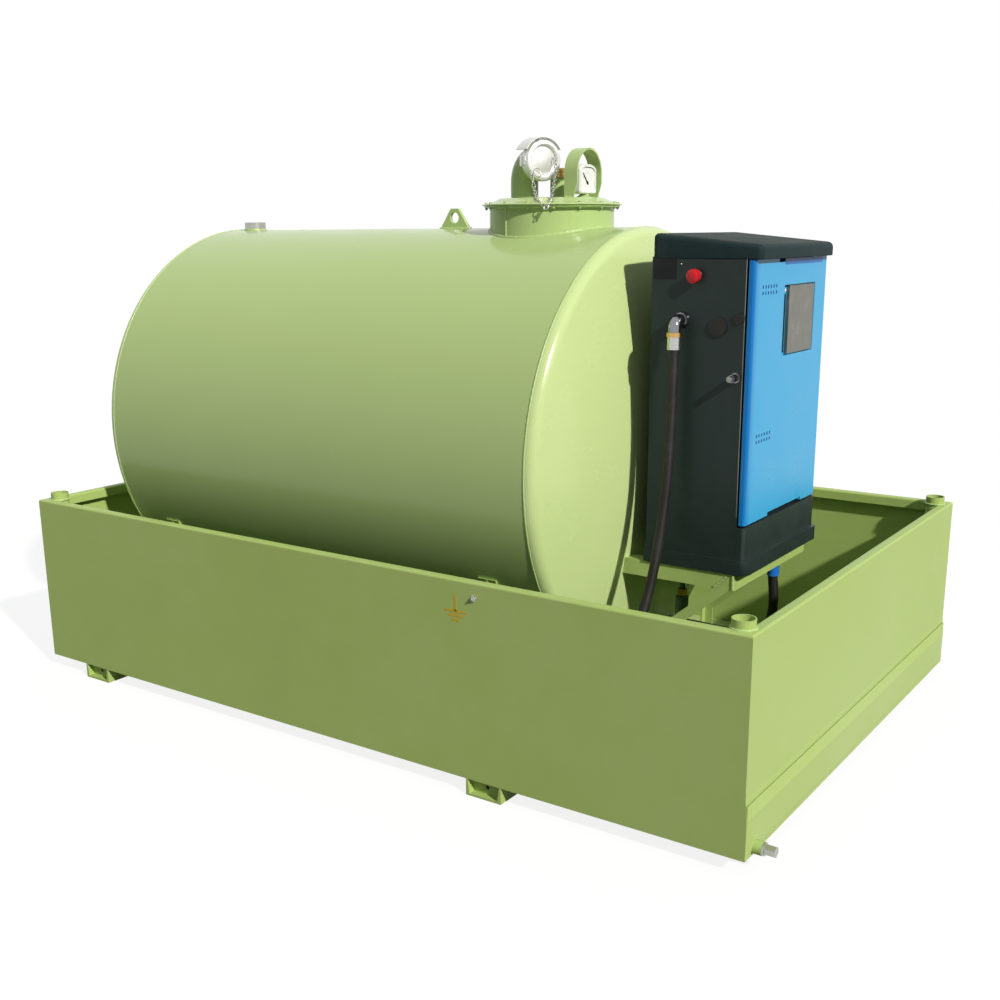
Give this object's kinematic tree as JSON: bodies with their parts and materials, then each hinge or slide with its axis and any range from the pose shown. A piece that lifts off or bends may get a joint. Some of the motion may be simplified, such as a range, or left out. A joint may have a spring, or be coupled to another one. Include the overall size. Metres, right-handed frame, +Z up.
{
  "type": "bunded diesel tank",
  "caption": "Horizontal steel diesel tank in an open spill basin on two runners, with a bolted manhole lid, a capped fill pipe, a level gauge and a pump cabinet with a delivery hose.",
  "frame": {"origin": "at ground level under the middle of the basin's footprint, drain plug included", "axes": "+X along the tank towards the pump cabinet, +Y from the side with the delivery hose to the far side, +Z up"},
  "size_m": [2.565, 1.58, 1.6904],
  "materials": {
    "green_paint": "pale green gloss paint on steel",
    "anthracite_paint": "anthracite paint on sheet steel",
    "blue_paint": "blue gloss paint on sheet steel",
    "zinc": "galvanised steel",
    "aluminium": "cast aluminium",
    "chrome": "chromed brass",
    "brass": "plain turned brass",
    "white_plastic": "moulded white plastic",
    "grey_plastic": "satin grey membrane panel",
    "red_plastic": "gloss red plastic",
    "black_plastic": "matte black plastic",
    "black_rubber": "smooth black fuel hose"
  },
  "bodies": {
    "tank": {"bund_floor": "green_paint", "front_wall": "green_paint", "rear_wall": "green_paint", "left_wall": "green_paint", "right_wall": "green_paint", "post_sockets": "green_paint", "runners": "green_paint", "drain_coupling": "green_paint", "drain_plug": "zinc", "saddle_left": "green_paint", "saddle_right": "green_paint", "tank_shell": "green_paint", "head_left": "green_paint", "head_right": "green_paint", "lifting_eye": "green_paint", "vent_coupling": "zinc", "manhole_neck": "green_paint", "manhole_lid": "green_paint", "fill_pipe": "green_paint", "fill_coupling": "aluminium", "fill_cap": "aluminium", "fill_guard": "aluminium", "dip_pipe": "green_paint", "dip_plug": "brass", "gauge_stem": "green_paint", "gauge_box": "white_plastic", "gauge_strap": "green_paint", "cabinet_frame": "green_paint", "cabinet_base": "anthracite_paint", "cabinet_body": "anthracite_paint", "cabinet_hood": "anthracite_paint", "hose_outlet": "chrome", "hose_swivel": "brass", "hose_ferrule": "zinc", "blanking_discs": "black_plastic", "key_lock": "chrome", "suction_filter": "green_paint", "suction_collar": "blue_paint", "suction_outlet": "zinc", "suction_hose": "black_rubber", "delivery_hose": "black_rubber", "delivery_coil": "black_rubber", "nozzle": "aluminium"},
    "door": {"cabinet_door": "blue_paint", "display_panel": "grey_plastic"},
    "button": {"stop_button": "red_plastic"}
  },
  "joints": [
    {"name": "door_hinge", "type": "hinge", "parent": "tank", "child": "door", "pos_m": [0.952, 0.2405, 1], "axis": [0, 0, 1], "range_deg": [0, 100]},
    {"name": "stop_press", "type": "slide", "parent": "tank", "child": "button", "axis": [0, 1, 0], "range_m": [0, 0.005], "stiffness_N_per_m": 400}
  ]
}
